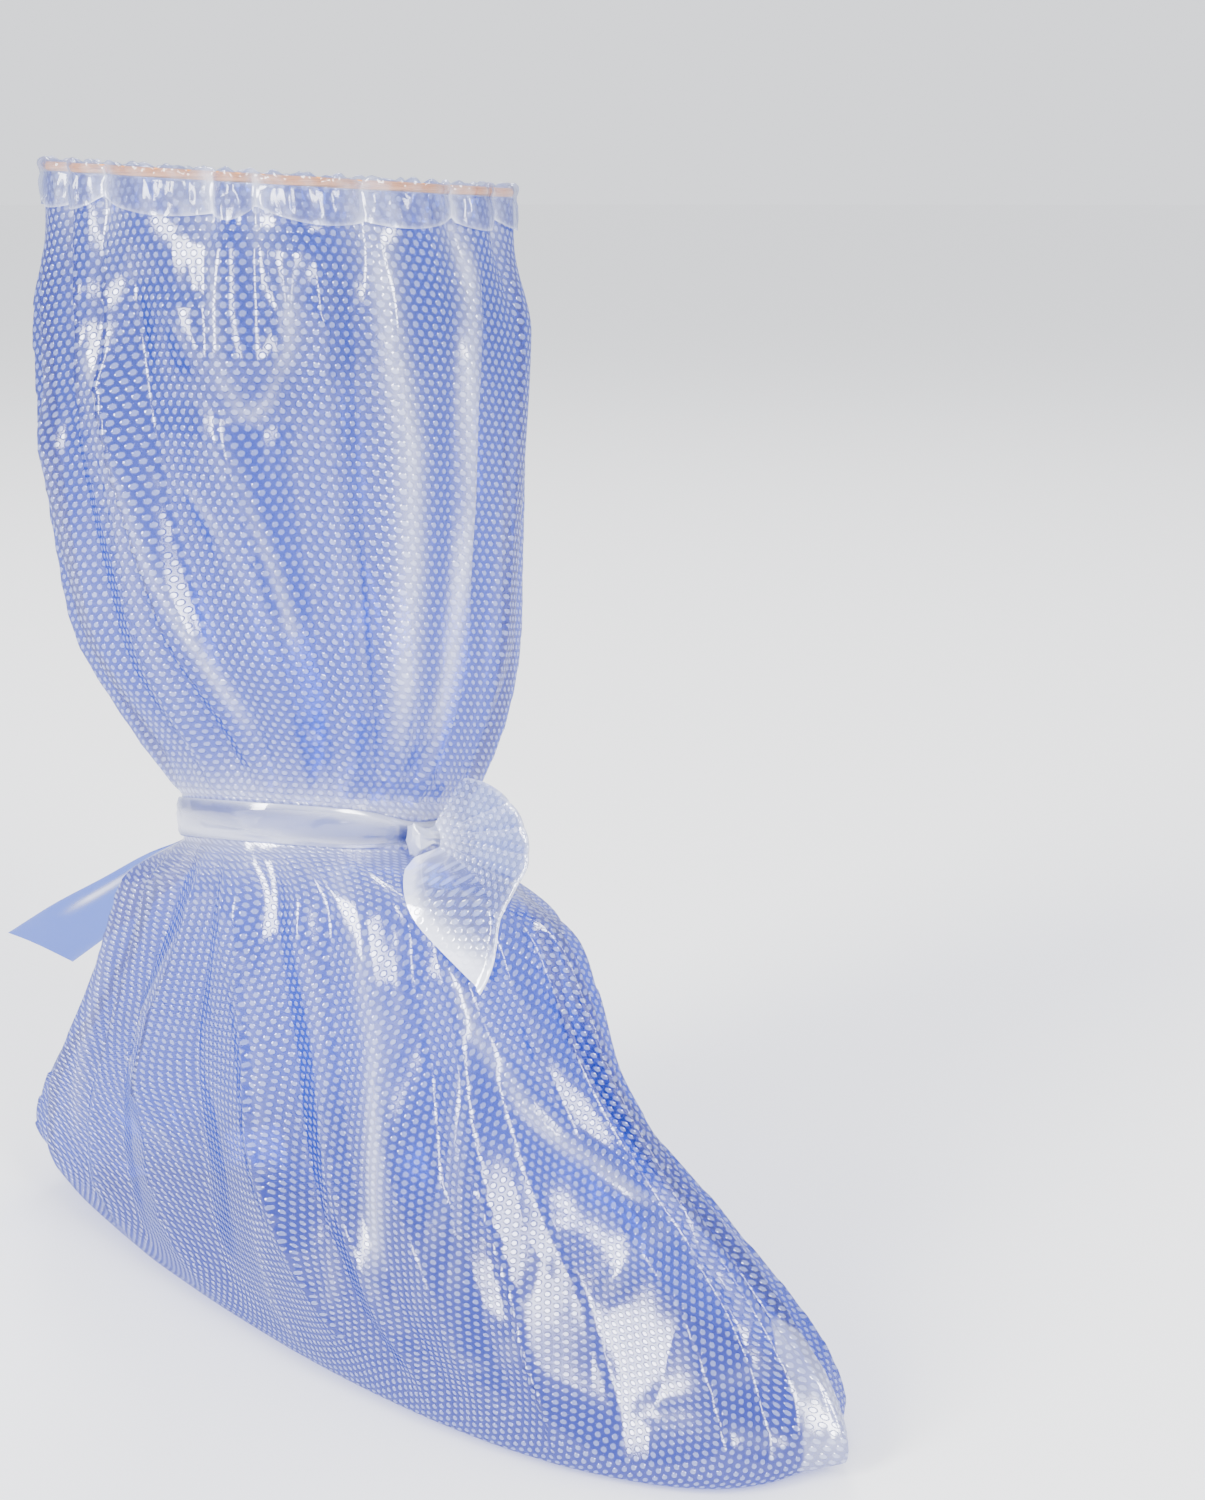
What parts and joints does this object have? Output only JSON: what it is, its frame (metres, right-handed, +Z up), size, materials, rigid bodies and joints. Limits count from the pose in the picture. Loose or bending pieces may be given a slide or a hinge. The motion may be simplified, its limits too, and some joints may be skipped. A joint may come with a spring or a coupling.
{
  "type": "shoe cover",
  "caption": "Tall see-through film shoe cover with an elastic ruffled mouth, gathered shaft, tied ankle strap and loose foot bag.",
  "frame": {"origin": "on the sole's underside, below the axis of the leg, where the cover sits on the wearer's foot", "axes": "+X to the toe, +Y to the wearer's left, +Z up along the leg"},
  "size_m": [0.3783, 0.1528, 0.374],
  "materials": {
    "clear_film": "clear embossed film, glossy, with fine staggered dots",
    "hem_film": "doubled clear film, milky where it is gathered",
    "strap_film": "doubled clear film strap, milky and glossy",
    "elastic_tan": "tan rubber elastic, matt"
  },
  "bodies": {
    "root": {"film_bag": "clear_film", "top_hem": "hem_film", "elastic": "elastic_tan", "ankle_band": "strap_film", "strap_knot": "strap_film", "strap_loop": "strap_film", "strap_tail": "strap_film"}
  },
  "joints": []
}
